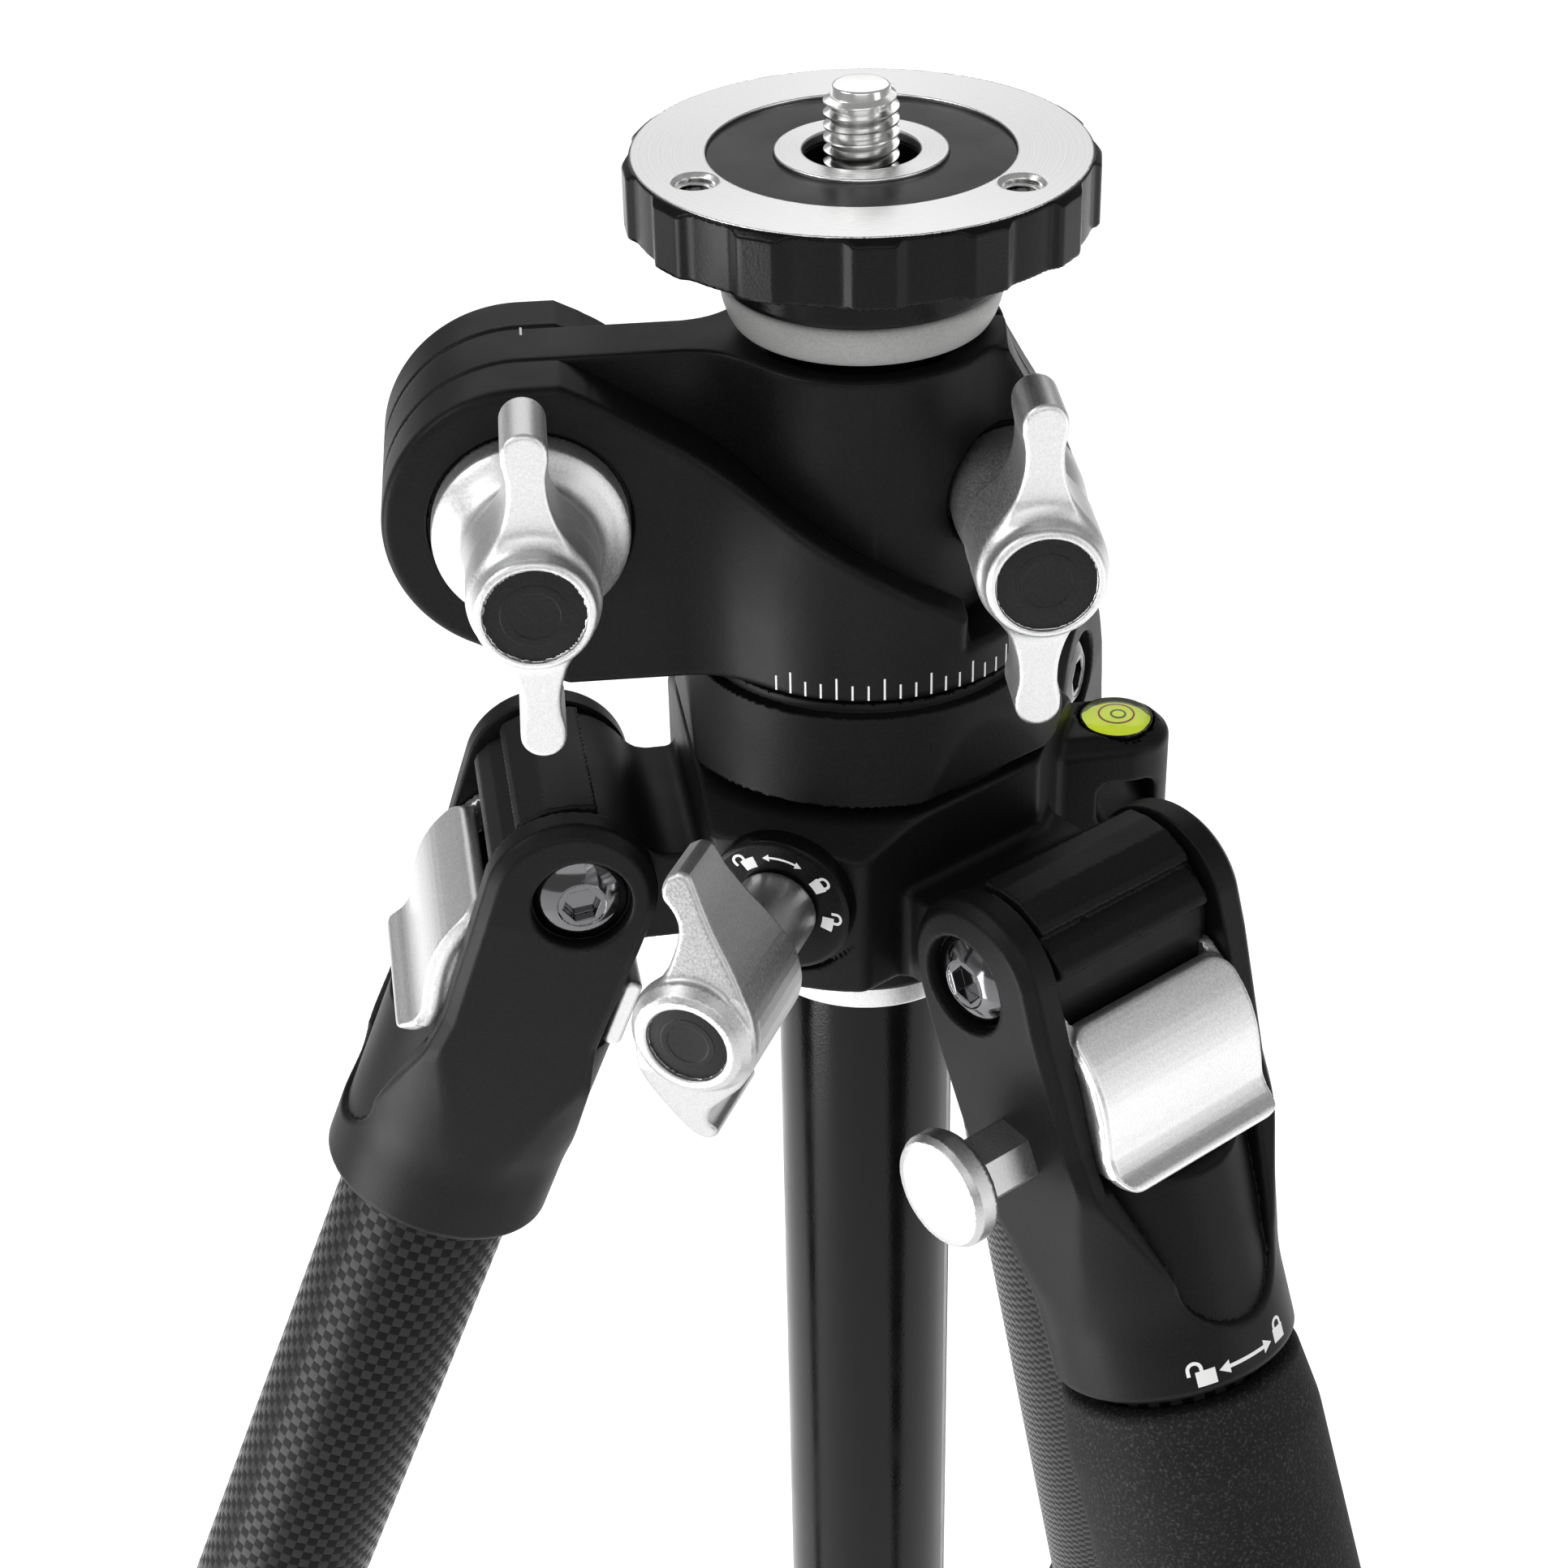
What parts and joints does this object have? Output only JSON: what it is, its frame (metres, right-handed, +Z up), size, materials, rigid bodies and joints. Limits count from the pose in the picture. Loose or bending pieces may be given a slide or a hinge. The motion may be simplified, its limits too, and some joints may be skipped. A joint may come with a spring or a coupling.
{
  "type": "camera tripod",
  "caption": "Compact camera tripod with a multi-angle centre column, panning base, telescoping legs with angle latches, and a stud head platform.",
  "frame": {"origin": "centre of the head platform's top face, on the axis of the head stud", "axes": "+Z up along the centre column, -Y through the pan lock between the two front legs, +Y through the rear leg, +X towards the right front leg's side"},
  "size_m": [0.39, 0.3412, 0.5414],
  "materials": {
    "bright_plate": "turned bright face with circular brushing",
    "black_anodised": "machined and anodised, semi-gloss",
    "black_casting": "blasted and black anodised, fine grain",
    "bright_steel": "turned steel",
    "satin_silver": "bead-blasted satin",
    "dark_chrome": "black chrome, polished",
    "grey_rubber": "soft translucent grey",
    "column_black": "polished black anodising",
    "bearing_plastic": "matte",
    "insert_black": "satin insert",
    "vial": "clear dome over yellow-green liquid",
    "carbon_weave": "woven carbon fibre under clear coat",
    "foam": "closed-cell foam, speckled",
    "lock_rubber": "ribbed rubber",
    "foot_rubber": "matte rubber"
  },
  "bodies": {
    "spider": {"spider": "black_casting", "pan_base_ring": "black_casting", "bubble_level": "vial", "retaining_ring": "satin_silver", "pan_lock_dial": "black_anodised"},
    "pan_head": {"pan_body": "black_casting", "collar": "black_casting", "collar_bushing": "bearing_plastic", "clamp_bolt": "dark_chrome", "hinge_bolt": "dark_chrome"},
    "column": {"head_plate": "bright_plate", "head_wheel": "black_anodised", "head_stud": "bright_steel", "lock_screws": "bright_steel", "bumper_ring": "grey_rubber", "column_tube": "column_black", "column_end_cap": "black_anodised", "weight_hook": "bright_steel"},
    "clamp_lever": {"clamp_knob": "satin_silver", "clamp_knob_cap": "insert_black"},
    "hinge_lever": {"hinge_knob": "satin_silver", "hinge_knob_cap": "insert_black"},
    "pan_lock": {"pan_lock_knob": "satin_silver", "pan_lock_cap": "insert_black", "pan_lock_screw": "dark_chrome"},
    "leg_left": {"yoke_left": "black_casting", "leg_bolt_left": "dark_chrome", "latch_pin_left": "dark_chrome", "upper_tube_left": "carbon_weave"},
    "latch_left": {"latch_left": "satin_silver"},
    "upper_lock_left": {"upper_lock_left": "lock_rubber"},
    "middle_section_left": {"middle_tube_left": "carbon_weave"},
    "lower_lock_left": {"lower_lock_left": "lock_rubber"},
    "lower_section_left": {"lower_tube_left": "carbon_weave", "foot_left": "foot_rubber"},
    "leg_right": {"yoke_right": "black_casting", "leg_bolt_right": "dark_chrome", "latch_pin_right": "dark_chrome", "upper_tube_right": "carbon_weave", "foam_grip": "foam"},
    "latch_right": {"latch_right": "satin_silver"},
    "upper_lock_right": {"upper_lock_right": "lock_rubber"},
    "middle_section_right": {"middle_tube_right": "carbon_weave"},
    "lower_lock_right": {"lower_lock_right": "lock_rubber"},
    "lower_section_right": {"lower_tube_right": "carbon_weave", "foot_right": "foot_rubber"},
    "release_button": {"release_button": "satin_silver"},
    "leg_rear": {"yoke_rear": "black_casting", "leg_bolt_rear": "dark_chrome", "latch_pin_rear": "dark_chrome", "upper_tube_rear": "carbon_weave"},
    "latch_rear": {"latch_rear": "satin_silver"},
    "upper_lock_rear": {"upper_lock_rear": "lock_rubber"},
    "middle_section_rear": {"middle_tube_rear": "carbon_weave"},
    "lower_lock_rear": {"lower_lock_rear": "lock_rubber"},
    "lower_section_rear": {"lower_tube_rear": "carbon_weave", "foot_rear": "foot_rubber"}
  },
  "joints": [
    {"name": "pan", "type": "hinge", "parent": "spider", "child": "pan_head", "pos_m": [0, 0, -0.067], "axis": [0, 0, 1], "continuous": true},
    {"name": "column_height", "type": "slide", "parent": "pan_head", "child": "column", "axis": [0, 0, 1], "range_m": [0, 0.24]},
    {"name": "clamp_lever_turn", "type": "hinge", "parent": "pan_head", "child": "clamp_lever", "pos_m": [0.02969, -0.0189, -0.043], "axis": [0.4384, -0.8988, 0], "range_deg": [0, 180]},
    {"name": "hinge_lever_turn", "type": "hinge", "parent": "pan_head", "child": "hinge_lever", "pos_m": [-0.02667, -0.04638, -0.043], "axis": [0.4384, -0.8988, 0], "range_deg": [0, 180]},
    {"name": "pan_lock_turn", "type": "hinge", "parent": "spider", "child": "pan_lock", "pos_m": [0, -0.05, -0.0928], "axis": [0, -1, 0], "range_deg": [-45, 45]},
    {"name": "leg_spread_left", "type": "hinge", "parent": "spider", "child": "leg_left", "pos_m": [-0.03676, -0.02123, -0.0968], "axis": [-0.5, 0.866, 0], "range_deg": [-21.5, 58.3]},
    {"name": "latch_pull_left", "type": "slide", "parent": "leg_left", "child": "latch_left", "axis": [-0.8049, -0.4647, 0.3691], "range_m": [0, 0.006], "stiffness_N_per_m": 600, "springref_m": -0.005},
    {"name": "upper_lock_turn_left", "type": "hinge", "parent": "leg_left", "child": "upper_lock_left", "pos_m": [-0.16143, -0.0932, -0.45926], "axis": [-0.3196, -0.1845, -0.9294], "range_deg": [0, 90]},
    {"name": "middle_slide_left", "type": "slide", "parent": "leg_left", "child": "middle_section_left", "axis": [-0.3196, -0.1845, -0.9294], "range_m": [0, 0.27]},
    {"name": "lower_lock_turn_left", "type": "hinge", "parent": "middle_section_left", "child": "lower_lock_left", "pos_m": [-0.17229, -0.09947, -0.49086], "axis": [-0.3196, -0.1845, -0.9294], "range_deg": [0, 90]},
    {"name": "lower_slide_left", "type": "slide", "parent": "middle_section_left", "child": "lower_section_left", "axis": [-0.3196, -0.1845, -0.9294], "range_m": [0, 0.27]},
    {"name": "leg_spread_right", "type": "hinge", "parent": "spider", "child": "leg_right", "pos_m": [0.03676, -0.02123, -0.0968], "axis": [-0.5, -0.866, 0], "range_deg": [-21.5, 58.3]},
    {"name": "latch_pull_right", "type": "slide", "parent": "leg_right", "child": "latch_right", "axis": [0.8049, -0.4647, 0.3691], "range_m": [0, 0.006], "stiffness_N_per_m": 600, "springref_m": -0.005},
    {"name": "upper_lock_turn_right", "type": "hinge", "parent": "leg_right", "child": "upper_lock_right", "pos_m": [0.16143, -0.0932, -0.45926], "axis": [0.3196, -0.1845, -0.9294], "range_deg": [0, 90]},
    {"name": "middle_slide_right", "type": "slide", "parent": "leg_right", "child": "middle_section_right", "axis": [0.3196, -0.1845, -0.9294], "range_m": [0, 0.27]},
    {"name": "lower_lock_turn_right", "type": "hinge", "parent": "middle_section_right", "child": "lower_lock_right", "pos_m": [0.17229, -0.09947, -0.49086], "axis": [0.3196, -0.1845, -0.9294], "range_deg": [0, 90]},
    {"name": "lower_slide_right", "type": "slide", "parent": "middle_section_right", "child": "lower_section_right", "axis": [0.3196, -0.1845, -0.9294], "range_m": [0, 0.27]},
    {"name": "release_press", "type": "slide", "parent": "leg_right", "child": "release_button", "axis": [0.5, 0.866, 0], "range_m": [0, 0.005], "stiffness_N_per_m": 400, "springref_m": -0.004},
    {"name": "leg_spread_rear", "type": "hinge", "parent": "spider", "child": "leg_rear", "pos_m": [0, 0.04245, -0.0968], "axis": [1, 0, 0], "range_deg": [-21.5, 58.3]},
    {"name": "latch_pull_rear", "type": "slide", "parent": "leg_rear", "child": "latch_rear", "axis": [0, 0.9294, 0.3691], "range_m": [0, 0.006], "stiffness_N_per_m": 600, "springref_m": -0.005},
    {"name": "upper_lock_turn_rear", "type": "hinge", "parent": "leg_rear", "child": "upper_lock_rear", "pos_m": [0, 0.1864, -0.45926], "axis": [0, 0.3691, -0.9294], "range_deg": [0, 90]},
    {"name": "middle_slide_rear", "type": "slide", "parent": "leg_rear", "child": "middle_section_rear", "axis": [0, 0.3691, -0.9294], "range_m": [0, 0.27]},
    {"name": "lower_lock_turn_rear", "type": "hinge", "parent": "middle_section_rear", "child": "lower_lock_rear", "pos_m": [0, 0.19895, -0.49086], "axis": [0, 0.3691, -0.9294], "range_deg": [0, 90]},
    {"name": "lower_slide_rear", "type": "slide", "parent": "middle_section_rear", "child": "lower_section_rear", "axis": [0, 0.3691, -0.9294], "range_m": [0, 0.27]}
  ]
}
